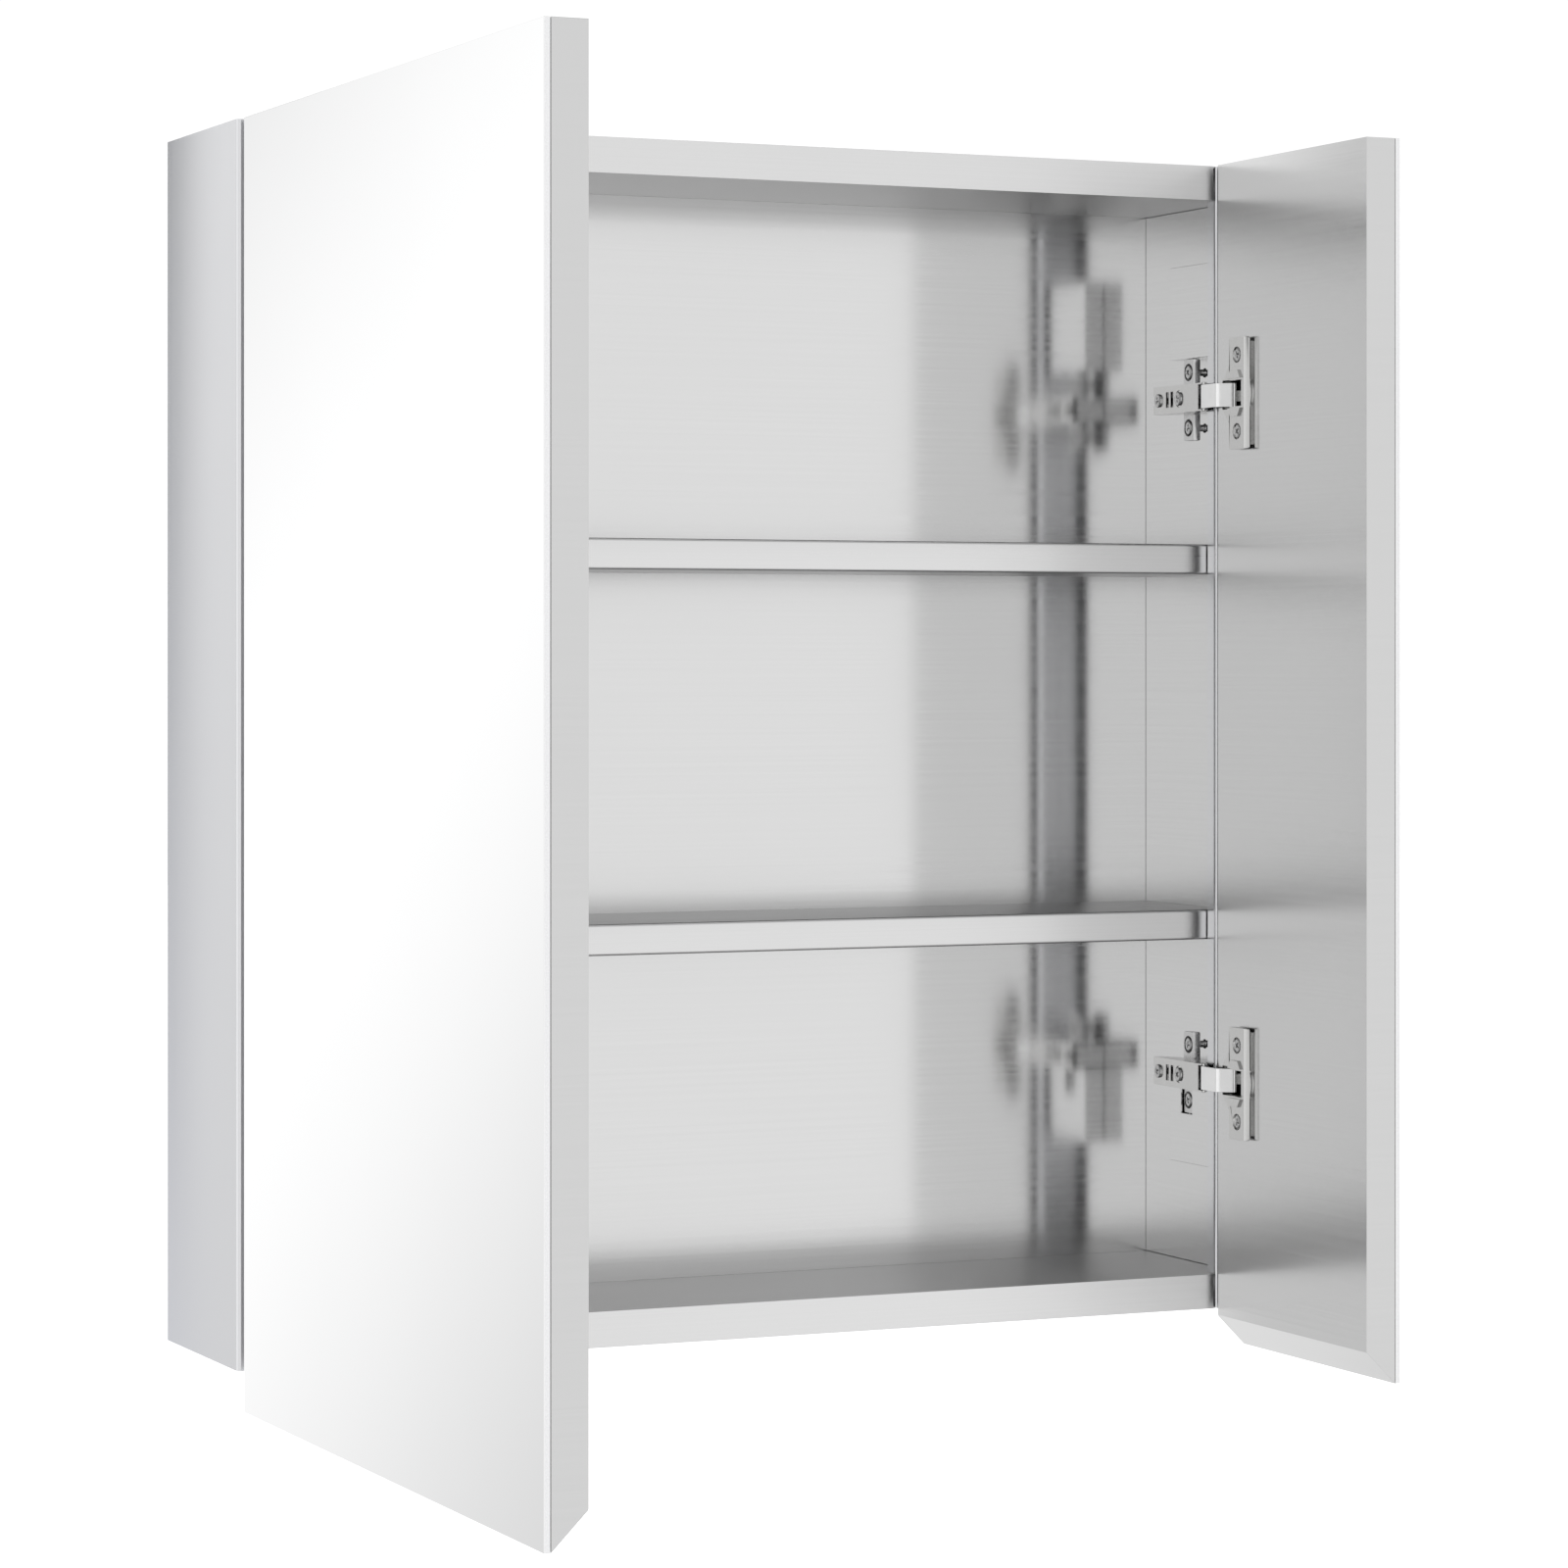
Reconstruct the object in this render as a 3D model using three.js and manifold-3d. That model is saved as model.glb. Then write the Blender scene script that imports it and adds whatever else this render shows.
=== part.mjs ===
// Wall-hung stainless steel medicine cabinet with two mirrored doors of unequal width,
// two fixed shelves and four concealed cup hinges. Millimetres, +Z up.
//
// Every piece is drawn in the body's own axes: x from the left outer side, y from the plane of
// the front flanges towards the wall, z from the underside. The finished cabinet is then moved
// so that the origin lies on the wall, in the middle of the hanging rail's back face.
// Both doors stand open at a right angle. Right-hand pieces are left-hand pieces mirrored in x.

import * as THREE from "three";
import { mergeVertices } from "three/addons/utils/BufferGeometryUtils.js";
import Module from "manifold-3d";

// Body
const BODY_WIDTH = 600;
const BODY_HEIGHT = 650;
const BODY_DEPTH = 125;
const SHEET = 1;
const GAP = 0.3;
const EDGE_RADIUS = 1.6;
const FLANGE_BEND = 2.4;
const FLANGE_HEIGHT = 19.5;
const SIDE_FLANGE = 21;
const LIP_DEPTH = 9;
const CORNER_SEAM = 1.2;
const REAR_RETURN = 14;
const LINER_OFFSET = 5.5;
const BACK_Y = 112.5;
const PANEL_RETURN = 10;
const PAST = 1; // how far a cutting tool reaches past what it cuts

// Shelves
const SHELF_THICKNESS = 17;
const SHELF_FRONT_Y = 10;
const SHELF_BOTTOMS = { lower_shelf: 209.5, upper_shelf: 418 };

// Stiffening boxes beside the hinges, with z measured up from the cabinet's underside
const BLOCK = { top: 18, y1: 59.3 };
const BLOCK_ENDS = { lower: [78.8, 122.7], upper: [542.8, 596.3] };

// Strip that hangs the cabinet
const HANG_RAIL = { sheet: 1.5, x0: 60, flange: 22, leaf: 30, webZ: 600 };

// Doors, standing open
const LEFT_DOOR_WIDTH = 432.5;
const RIGHT_DOOR_WIDTH = 165;
const DOOR_EDGE_Y = -5.2;
const MIRROR_X = 2;
const MIRROR_THICKNESS = 3;
const MIRROR_ARRIS = 0.4;
const DOOR_THICKNESS = 21;
const DOOR_DROP = 20.5;
const PAN_FOLD = 10;
const PAN_CORNER_RADIUS = 2;

// Hinges, with z measured from the hinge's own middle
const HINGE_HEIGHTS = { lower: 131, upper: 519 };
const CUP = { radius: 17.5, fromEdge: 22.5, depth: 13, floor: 0.8 };
const CUP_BAR = { height: 63, width: 17.9, thickness: 4.7, fromEdge: 32, screwZ: 21.5 };
const CUP_SLOT = { halfHeight: 8.2, y0: -11, y1: -29.2 };
const CUP_WINDOW = { halfHeight: 7.4, y1: -43.4, depth: 2.2, groove: 1.6, grooveDepth: 6 };
const CUP_EAR = { rise: 1.2, halfOuter: 13, halfInner: 8.4, y0: -28.3, y1: -42.6, slope: 3 };
const LINK = { halfHeight: 6.7, sheet: 1.2, hub: 1.7, bendY: -12.5, endX: 19, endY: -18.8, endRadius: 0.9 };
const ARM_PIVOT = { x: 26.2, y: 4.2 };
const PIN = { radius: 0.8, hole: 1.1, halfLength: 8.4 };
const ARM = { top: 28, halfHeight: 8, sheet: 0.9, low: 16.4, webY0: 7.8, webY1: 61, tip: 1.9 };
const ARM_CHEEK = { rearRise: 5, rearRun: 10, frontRun: 5 };
const ARM_SLOTS = [[37.2, 40.4], [42.6, 46]];
const ARM_SLOT_HALF = 4.5;
const PLATE = { low: 5.8, wing: 12.3, top: 16.3, saddle: 24, halfHeight: 23.5, y0: 33.4, y1: 46 };
const SADDLE = { halfHeight: 6.6, y0: 14, y1: 60 };
const SCREW_DOME = { rim: 0.5, crown: 0.8 };
const PLATE_SCREW = { head: 4.6, rise: 1.6, shank: 2.5, y: 40.5, z: 16, tip: 3 };
const CUP_SCREW = { head: 4.4, cone: 2.5, shank: 1.7, length: 9 };
const SIDE_SCREW = { head: 4.8, rise: 1.1, shank: 2.2, y: 30.3, tip: 24.3 };
const DEPTH_SCREW_HOLE = { radius: 2.5, y: 54.6 };
const RECESS = { length: 0.62, width: 0.16, depth: 0.9 };
const ROUND = 12;

const wasm = await Module();
wasm.setup();

// ---- Solids -------------------------------------------------------------------------------

// A closed geometry as a manifold-3d solid.
function solid(geometry) {
  const bare = new THREE.BufferGeometry();
  const flat = geometry.index ? geometry.toNonIndexed() : geometry;
  bare.setAttribute("position", flat.getAttribute("position"));
  const merged = mergeVertices(bare, 1e-4);
  const vertProperties = merged.attributes.position.array;
  const triVerts = new Uint32Array(merged.index.array);
  return new wasm.Manifold(new wasm.Mesh({ numProp: 3, vertProperties, triVerts }));
}

function geometryOf(manifold) {
  const mesh = manifold.getMesh();
  const geometry = new THREE.BufferGeometry();
  geometry.setAttribute("position", new THREE.BufferAttribute(mesh.vertProperties, 3));
  geometry.setIndex(new THREE.BufferAttribute(mesh.triVerts, 1));
  const faceted = geometry.toNonIndexed();
  faceted.computeVertexNormals();
  return faceted;
}

function join(first, ...others) {
  return others.reduce((sum, other) => sum.add(other), first);
}

function cut(first, ...others) {
  return others.reduce((rest, other) => rest.subtract(other), first);
}

function box(x0, x1, y0, y1, z0, z1) {
  const geometry = new THREE.BoxGeometry(x1 - x0, y1 - y0, z1 - z0);
  return solid(geometry.translate((x0 + x1) / 2, (y0 + y1) / 2, (z0 + z1) / 2));
}

// A flat outline from corners [a, b] or [a, b, radius]; a third number rounds that corner.
function outline(corners) {
  const shape = new THREE.Shape();
  corners.forEach(([a, b, radius = 0], i) => {
    const here = new THREE.Vector2(a, b);
    const before = new THREE.Vector2(...corners.at(i - 1)).sub(here).normalize();
    const after = new THREE.Vector2(...corners[(i + 1) % corners.length]).sub(here).normalize();
    const start = here.clone().addScaledVector(before, radius);
    const end = here.clone().addScaledVector(after, radius);
    if (i === 0) shape.moveTo(start.x, start.y);
    else shape.lineTo(start.x, start.y);
    if (radius > 0) shape.quadraticCurveTo(a, b, end.x, end.y);
  });
  shape.closePath();
  return shape;
}

// An outline in (x, y), pulled along z.
function alongZ(corners, z0, z1) {
  const options = { depth: z1 - z0, bevelEnabled: false, curveSegments: 4 };
  return solid(new THREE.ExtrudeGeometry(outline(corners), options).translate(0, 0, z0));
}

// An outline in (y, z), pulled along x.
function alongX(corners, x0, x1) {
  const turned = new THREE.Matrix4().set(0, 0, 1, x0, 1, 0, 0, 0, 0, 1, 0, 0, 0, 0, 0, 1);
  const options = { depth: x1 - x0, bevelEnabled: false, curveSegments: 4 };
  return solid(new THREE.ExtrudeGeometry(outline(corners), options).applyMatrix4(turned));
}

// An outline in (x, z), pulled along y from y0 down to y1.
function alongY(corners, y0, y1) {
  const options = { depth: y0 - y1, bevelEnabled: false, curveSegments: 4 };
  const geometry = new THREE.ExtrudeGeometry(outline(corners), options);
  return solid(geometry.rotateX(Math.PI / 2).translate(0, y0, 0));
}

// A turned piece on an axis along x through (y, z), from a list of [radius, x].
function turnedX(profile, y, z) {
  const points = profile.map(([radius, x]) => new THREE.Vector2(radius, x));
  const geometry = new THREE.LatheGeometry(points, ROUND);
  return solid(geometry.rotateZ(-Math.PI / 2).translate(0, y, z));
}

function rodX(radius, x0, x1, y, z) {
  return turnedX([[0, x0], [radius, x0], [radius, x1], [0, x1]], y, z);
}

function rodZ(radius, x, y, halfLength) {
  const geometry = new THREE.CylinderGeometry(radius, radius, 2 * halfLength, ROUND);
  return solid(geometry.rotateX(Math.PI / 2).translate(x, y, 0));
}

// ---- Materials and nodes ------------------------------------------------------------------

function finish(color, roughness, metalness) {
  return () => new THREE.MeshStandardMaterial({ color, roughness, metalness });
}

const brushedSteel = finish(0xc4c5c7, 0.34, 1);
const satinSteel = finish(0xcdced0, 0.4, 1);
const silveredGlass = finish(0xeef0f2, 0.03, 1);
const nickel = finish(0xc9c9c6, 0.18, 1);
const polishedNickel = finish(0xdededc, 0.1, 1);
const zincPlate = finish(0xa9aaab, 0.3, 1);

function node(name, manifold, material) {
  const mesh = new THREE.Mesh(geometryOf(manifold), material());
  mesh.name = name;
  return mesh;
}

// ---- Body shell ---------------------------------------------------------------------------

// Outer side wall with its front flange, the flange's return lip and the rear return. The lip
// stops short of the floor and the ceiling.
function sidePanel() {
  const corners = [
    [0, 0, FLANGE_BEND],
    [SIDE_FLANGE, 0, FLANGE_BEND],
    [SIDE_FLANGE, LIP_DEPTH],
    [SIDE_FLANGE - SHEET, LIP_DEPTH],
    [SIDE_FLANGE - SHEET, SHEET, FLANGE_BEND - SHEET],
    [SHEET, SHEET, FLANGE_BEND - SHEET],
    [SHEET, BODY_DEPTH - SHEET],
    [REAR_RETURN, BODY_DEPTH - SHEET],
    [REAR_RETURN, BODY_DEPTH],
    [0, BODY_DEPTH],
  ];
  const wall = alongZ(corners, 0, BODY_HEIGHT);
  const lipEnd = FLANGE_HEIGHT + GAP;
  const lipX = SIDE_FLANGE - 2 * SHEET;
  const ends = [[-PAST, lipEnd], [BODY_HEIGHT - lipEnd, BODY_HEIGHT + PAST]];
  const beyond = ends.map(([z0, z1]) =>
    box(lipX, SIDE_FLANGE + PAST, SHEET, LIP_DEPTH + PAST, z0, z1)
  );
  return cut(wall, ...beyond);
}

// Inner side wall, held off the outer one by its two turned edges and bored for the hinges.
function sideLiner() {
  const inner = LINER_OFFSET - SHEET;
  const y0 = SHEET + GAP;
  const y1 = BACK_Y - GAP;
  const corners = [
    [LINER_OFFSET, y0],
    [LINER_OFFSET, y1],
    [SHEET + GAP, y1],
    [SHEET + GAP, y1 - SHEET],
    [inner, y1 - SHEET],
    [inner, y0 + SHEET],
    [FLANGE_BEND, y0 + SHEET],
    [FLANGE_BEND, y0],
  ];
  const sheet = alongZ(corners, FLANGE_HEIGHT + GAP, BODY_HEIGHT - FLANGE_HEIGHT - GAP);
  return cut(sheet, ...plateScrewHoles());
}

// Folded box on the inner side wall beside a hinge, open towards the wall. Where it reaches the
// hinge it is cut away round the mounting plate. Heights are from the hinge's own middle.
function hingeBlock(level) {
  const [z0, z1] = BLOCK_ENDS[level].map((z) => z - HINGE_HEIGHTS[level]);
  const { top, y1 } = BLOCK;
  const x0 = LINER_OFFSET + GAP;
  const y0 = LIP_DEPTH + GAP;
  const outside = box(x0, top, y0, y1, z0, z1);
  const under = x0 - PAST;
  const inside = box(under, top - SHEET, y0 + SHEET, y1 - SHEET, z0 + SHEET, z1 - SHEET);
  const plateEnd = PLATE.halfHeight + GAP;
  const plateRoom = box(under, top + PAST, PLATE.y0 - GAP, PLATE.y1 + GAP, -plateEnd, plateEnd);
  return cut(outside, inside, plateRoom);
}

function plateScrewHoles() {
  const heights = Object.values(HINGE_HEIGHTS);
  const middles = heights.flatMap((height) => [height - PLATE_SCREW.z, height + PLATE_SCREW.z]);
  return middles.map((z) => rodX(PLATE_SCREW.shank + GAP, 0, PLATE.wing, PLATE_SCREW.y, z));
}

// Floor of the cabinet: one sheet folded into the front flange, the floor itself and a rear
// return, open at both ends and notched round the side panels' flanges and returns.
function bottomPanel() {
  const rear = BACK_Y - GAP;
  const left = SHEET + GAP;
  const section = [
    [0, 0],
    [BODY_DEPTH, 0],
    [BODY_DEPTH, PANEL_RETURN],
    [BODY_DEPTH - SHEET, PANEL_RETURN],
    [BODY_DEPTH - SHEET, SHEET],
    [SHEET, SHEET],
    [SHEET, FLANGE_HEIGHT - SHEET],
    [rear, FLANGE_HEIGHT - SHEET],
    [rear, FLANGE_HEIGHT],
    [0, FLANGE_HEIGHT],
  ];
  const low = -PAST;
  const high = FLANGE_HEIGHT + PAST;
  const seamX = SIDE_FLANGE + CORNER_SEAM;
  const seamY = SHEET + GAP;
  const returnX = REAR_RETURN + GAP;
  const returnY = BODY_DEPTH - SHEET - GAP;
  const notches = [
    box(-PAST, seamX, -PAST, seamY, low, high),
    box(BODY_WIDTH - seamX, BODY_WIDTH + PAST, -PAST, seamY, low, high),
    box(-PAST, FLANGE_BEND, -PAST, FLANGE_BEND, low, high),
    box(BODY_WIDTH - FLANGE_BEND, BODY_WIDTH + PAST, -PAST, FLANGE_BEND, low, high),
    box(-PAST, returnX, returnY, BODY_DEPTH + PAST, low, high),
    box(BODY_WIDTH - returnX, BODY_WIDTH + PAST, returnY, BODY_DEPTH + PAST, low, high),
  ];
  return cut(alongX(section, left, BODY_WIDTH - left), ...notches);
}

// The top is the floor turned upside down.
function topPanel() {
  return bottomPanel().mirror([0, 0, 1]).translate([0, 0, BODY_HEIGHT]);
}

// Back sheet with its two side edges turned towards the wall.
function backPanel() {
  const left = SHEET + GAP;
  const right = BODY_WIDTH - left;
  const rear = BODY_DEPTH - SHEET - 2 * GAP;
  const corners = [
    [left, BACK_Y],
    [right, BACK_Y],
    [right, rear],
    [right - SHEET, rear],
    [right - SHEET, BACK_Y + SHEET],
    [left + SHEET, BACK_Y + SHEET],
    [left + SHEET, rear],
    [left, rear],
  ];
  return alongZ(corners, PANEL_RETURN + GAP, BODY_HEIGHT - PANEL_RETURN - GAP);
}

// A shelf is a flat folded tube, open at its two ends.
function shelf(bottom) {
  const x0 = LINER_OFFSET + 2 * GAP;
  const x1 = BODY_WIDTH - x0;
  const y1 = BACK_Y - GAP;
  const top = bottom + SHELF_THICKNESS;
  const outside = [
    [SHELF_FRONT_Y, bottom, EDGE_RADIUS],
    [y1, bottom],
    [y1, top],
    [SHELF_FRONT_Y, top, EDGE_RADIUS],
  ];
  const inside = box(
    x0 - PAST, x1 + PAST, SHELF_FRONT_Y + SHEET, y1 - SHEET, bottom + SHEET, top - SHEET
  );
  return cut(alongX(outside, x0, x1), inside);
}

// Stepped strip behind the back sheet: its flange is fixed to the sheet, and its leaf hangs
// down against the wall, leaving a slot that drops over a strip on the wall.
function hangingRail() {
  const { sheet, x0, flange, leaf, webZ } = HANG_RAIL;
  const front = BACK_Y + SHEET + GAP;
  const corners = [
    [front, webZ - sheet],
    [BODY_DEPTH - sheet, webZ - sheet],
    [BODY_DEPTH - sheet, webZ - leaf],
    [BODY_DEPTH, webZ - leaf],
    [BODY_DEPTH, webZ, EDGE_RADIUS],
    [front + sheet, webZ],
    [front + sheet, webZ + flange],
    [front, webZ + flange],
  ];
  return alongX(corners, x0, BODY_WIDTH - x0);
}

// ---- Doors --------------------------------------------------------------------------------

const PAN_OUTER_X = MIRROR_X + MIRROR_THICKNESS + GAP;
const PAN_INNER_X = MIRROR_X + DOOR_THICKNESS;
const BEVEL_TOP = PAN_INNER_X - PAN_OUTER_X - DOOR_DROP;

// The pan's section in (x, z), inset by a margin: the bottom edge is cut back at 45 degrees.
function panSection(margin) {
  const slant = margin * (Math.SQRT2 - 1);
  return [
    [PAN_OUTER_X + margin, -DOOR_DROP + margin + slant + margin],
    [PAN_INNER_X - margin, BEVEL_TOP + slant + margin],
    [PAN_INNER_X - margin, BODY_HEIGHT - margin],
    [PAN_OUTER_X + margin, BODY_HEIGHT - margin],
  ];
}

// Steel door pan, folded from one sheet and open towards the mirror inside a narrow fold.
function doorPan(width) {
  const free = DOOR_EDGE_Y - width;
  const block = alongY(panSection(0), DOOR_EDGE_Y, free);
  const inside = alongY(panSection(SHEET), DOOR_EDGE_Y - SHEET, free + SHEET);
  const window = box(
    PAN_OUTER_X - PAST, PAN_OUTER_X + SHEET + PAST,
    free + PAN_FOLD, DOOR_EDGE_Y - PAN_FOLD,
    -DOOR_DROP + PAN_FOLD, BODY_HEIGHT - PAN_FOLD
  );
  const plan = [
    [PAN_OUTER_X, DOOR_EDGE_Y],
    [PAN_OUTER_X, free],
    [PAN_INNER_X, free],
    [PAN_INNER_X, DOOR_EDGE_Y, PAN_CORNER_RADIUS],
  ];
  const rounded = alongZ(plan, -DOOR_DROP - PAST, BODY_HEIGHT + PAST);
  const shell = cut(block.intersect(rounded), inside, window);
  const cups = Object.values(HINGE_HEIGHTS).flatMap((height) => cupHoles(height));
  return cut(shell, ...cups);
}

// Holes in the pan's inner face for one hinge cup and its two screws.
function cupHoles(height) {
  const x0 = PAN_INNER_X - 2 * SHEET;
  const x1 = PAN_INNER_X + SHEET;
  const screwY = DOOR_EDGE_Y - CUP_BAR.fromEdge;
  return [
    rodX(CUP.radius + GAP, x0, x1, DOOR_EDGE_Y - CUP.fromEdge, height),
    rodX(CUP_SCREW.shank + GAP, x0, x1, screwY, height - CUP_BAR.screwZ),
    rodX(CUP_SCREW.shank + GAP, x0, x1, screwY, height + CUP_BAR.screwZ),
  ];
}

// Mirror glass with the arrises of its face taken off.
function mirror(width) {
  const x1 = MIRROR_X + MIRROR_THICKNESS;
  const free = DOOR_EDGE_Y - width;
  const corners = [
    [MIRROR_X, DOOR_EDGE_Y - MIRROR_ARRIS],
    [MIRROR_X, free + MIRROR_ARRIS],
    [MIRROR_X + MIRROR_ARRIS, free],
    [x1, free],
    [x1, DOOR_EDGE_Y],
    [MIRROR_X + MIRROR_ARRIS, DOOR_EDGE_Y],
  ];
  return alongZ(corners, -DOOR_DROP, BODY_HEIGHT);
}

// ---- Hinges -------------------------------------------------------------------------------

// Two crossed grooves for a screwdriver, sunk into a head that faces +x at x.
function crossRecess(head, x, y, z) {
  const a = head * RECESS.length;
  const b = head * RECESS.width;
  const x0 = x - RECESS.depth;
  const x1 = x + PAST;
  return join(box(x0, x1, y - a, y + a, z - b, z + b), box(x0, x1, y - b, y + b, z - a, z + a));
}

// A screw with a low domed head that rises above the face at x.
function domedScrew({ head, rise, shank, y, tip }, x, z) {
  const base = x + GAP;
  const profile = [
    [0, tip],
    [shank, tip],
    [shank, base],
    [head, base],
    [head, base + SCREW_DOME.rim * rise],
    [SCREW_DOME.crown * head, base + rise],
    [0, base + rise],
  ];
  return cut(turnedX(profile, y, z), crossRecess(head, base + rise, y, z));
}

// A countersunk screw, flush with the cup's bar.
function cupScrew(z) {
  const face = PAN_INNER_X + GAP + CUP_BAR.thickness;
  const y = DOOR_EDGE_Y - CUP_BAR.fromEdge;
  const { head, cone, shank, length } = CUP_SCREW;
  const profile = [
    [0, face - length],
    [shank, face - length],
    [shank, face - cone],
    [head, face],
    [0, face],
  ];
  return cut(turnedX(profile, y, z), crossRecess(head, face, y, z));
}

function cupScrewHole(z) {
  const face = PAN_INNER_X + GAP + CUP_BAR.thickness;
  const y = DOOR_EDGE_Y - CUP_BAR.fromEdge;
  const { head, cone, shank } = CUP_SCREW;
  const back = face - CUP_BAR.thickness - PAST;
  const profile = [
    [0, back],
    [shank + GAP, back],
    [shank + GAP, face - cone - GAP],
    [head + GAP, face - GAP],
    [head + GAP, face + PAST],
    [0, face + PAST],
  ];
  return turnedX(profile, y, z);
}

// Raised sloping ear on the bar, beside the link's window; side is +1 above and -1 below.
function cupEar(side) {
  const face = PAN_INNER_X + GAP + CUP_BAR.thickness;
  const { rise, halfOuter, halfInner, y0, y1, slope } = CUP_EAR;
  const corners = [
    [y1, side * halfInner],
    [y1 + slope, side * halfOuter],
    [y0 - slope, side * halfOuter],
    [y0, side * halfInner],
  ];
  return alongX(side > 0 ? corners.reverse() : corners, face - PAST, face + rise);
}

// Hinge cup: a round pot sunk in the door, its screw bar held just off the door, and the
// openings for the link.
function hingeCup() {
  const rim = PAN_INNER_X + GAP;
  const middle = DOOR_EDGE_Y - CUP.fromEdge;
  const barY = DOOR_EDGE_Y - CUP_BAR.fromEdge;
  const halfWidth = CUP_BAR.width / 2;
  const halfHeight = CUP_BAR.height / 2;
  const top = rim + CUP_BAR.thickness;
  const pot = rodX(CUP.radius, PAN_INNER_X - CUP.depth, rim, middle, 0);
  const corners = [
    [barY - halfWidth, -halfHeight, EDGE_RADIUS],
    [barY + halfWidth, -halfHeight, EDGE_RADIUS],
    [barY + halfWidth, halfHeight, EDGE_RADIUS],
    [barY - halfWidth, halfHeight, EDGE_RADIUS],
  ];
  const bar = alongX(corners, rim - GAP, top);
  const floor = PAN_INNER_X - CUP.depth + CUP.floor;
  const high = top + PAST;
  const slot = box(
    floor, high, CUP_SLOT.y1, CUP_SLOT.y0, -CUP_SLOT.halfHeight, CUP_SLOT.halfHeight
  );
  const half = CUP_WINDOW.halfHeight;
  const windowFloor = PAN_INNER_X - CUP_WINDOW.depth;
  const window = box(windowFloor, high, CUP_WINDOW.y1, CUP_SLOT.y1 + PAST, -half, half);
  const grooveFloor = PAN_INNER_X - CUP_WINDOW.grooveDepth;
  const grooveY = CUP_WINDOW.y1 + CUP_WINDOW.groove;
  const groove = box(grooveFloor, high, CUP_WINDOW.y1, grooveY, -half, half);
  const y0 = barY - halfWidth - PAST;
  const y1 = barY + halfWidth + PAST;
  const reliefHalf = halfHeight + PAST;
  const relief = cut(
    box(PAN_INNER_X - PAST, rim, y0, y1, -reliefHalf, reliefHalf),
    rodX(CUP.radius, PAN_INNER_X - 2 * PAST, high, middle, 0)
  );
  const screwHoles = [cupScrewHole(CUP_BAR.screwZ), cupScrewHole(-CUP_BAR.screwZ)];
  const body = join(pot, bar, cupEar(1), cupEar(-1));
  return cut(body, slot, window, groove, relief, ...screwHoles);
}

// Link between the arm and the cup: a bent plate that rolls round the arm's pin.
function hingeLink() {
  const half = LINK.sheet / 2;
  const x = ARM_PIVOT.x + LINK.hub - half;
  const path = [
    new THREE.Vector2(x, ARM_PIVOT.y),
    new THREE.Vector2(x, LINK.bendY),
    new THREE.Vector2(LINK.endX, LINK.endY),
  ];
  const slope = path[2].clone().sub(path[1]).normalize();
  const across = new THREE.Vector2(slope.y, -slope.x).multiplyScalar(half);
  const turn = half * Math.tan(Math.acos(-slope.y) / 2);
  const corners = [
    [x + half, path[0].y],
    [x - half, path[0].y],
    [x - half, path[1].y + turn],
    [path[2].x + across.x, path[2].y + across.y],
    [path[2].x - across.x, path[2].y - across.y],
    [x + half, path[1].y - turn],
  ];
  const plate = alongZ(corners, -LINK.halfHeight, LINK.halfHeight);
  const hub = rodZ(LINK.hub, ARM_PIVOT.x, ARM_PIVOT.y, LINK.halfHeight);
  const rolledEnd = rodZ(LINK.endRadius, LINK.endX, LINK.endY, LINK.halfHeight);
  const hole = rodZ(PIN.hole, ARM_PIVOT.x, ARM_PIVOT.y, LINK.halfHeight + PAST);
  return cut(join(plate, hub, rolledEnd), hole);
}

function linkPin() {
  return rodZ(PIN.radius, ARM_PIVOT.x, ARM_PIVOT.y, PIN.halfLength);
}

// Hinge arm: a channel over the mounting plate, with two cheeks that reach forward to the pin.
function hingeArm() {
  const { top, halfHeight, sheet, low, webY0, webY1, tip } = ARM;
  const { rearRise, rearRun, frontRun } = ARM_CHEEK;
  const lipX = SIDE_FLANGE + 2 * GAP;
  const lipY = LIP_DEPTH + 2 * GAP;
  const corners = [
    [top, ARM_PIVOT.y],
    [top, webY1],
    [top - rearRise, webY1],
    [low, webY1 - rearRun],
    [low, lipY + frontRun],
    [lipX, lipY],
    [ARM_PIVOT.x - tip, ARM_PIVOT.y],
  ];
  const block = join(
    alongZ(corners, -halfHeight, halfHeight),
    rodZ(tip, ARM_PIVOT.x, ARM_PIVOT.y, halfHeight)
  );
  const inner = halfHeight - sheet;
  const front = ARM_PIVOT.y - tip - PAST;
  const rear = webY1 + PAST;
  const under = top - sheet - PAST;
  const above = top + PAST;
  const channel = box(0, top - sheet, front, rear, -inner, inner);
  const mouth = box(0, above, front, webY0, -inner, inner);
  const slots = ARM_SLOTS.map(([y0, y1]) => box(under, above, y0, y1, -ARM_SLOT_HALF, ARM_SLOT_HALF));
  const { radius, y } = DEPTH_SCREW_HOLE;
  const open = box(under, above, y - radius, rear, -radius, radius);
  const sideHole = rodX(SIDE_SCREW.shank + GAP, under, above, SIDE_SCREW.y, 0);
  const pinHole = rodZ(PIN.hole, ARM_PIVOT.x, ARM_PIVOT.y, halfHeight + PAST);
  return cut(block, channel, mouth, ...slots, open, sideHole, pinHole);
}

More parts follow.
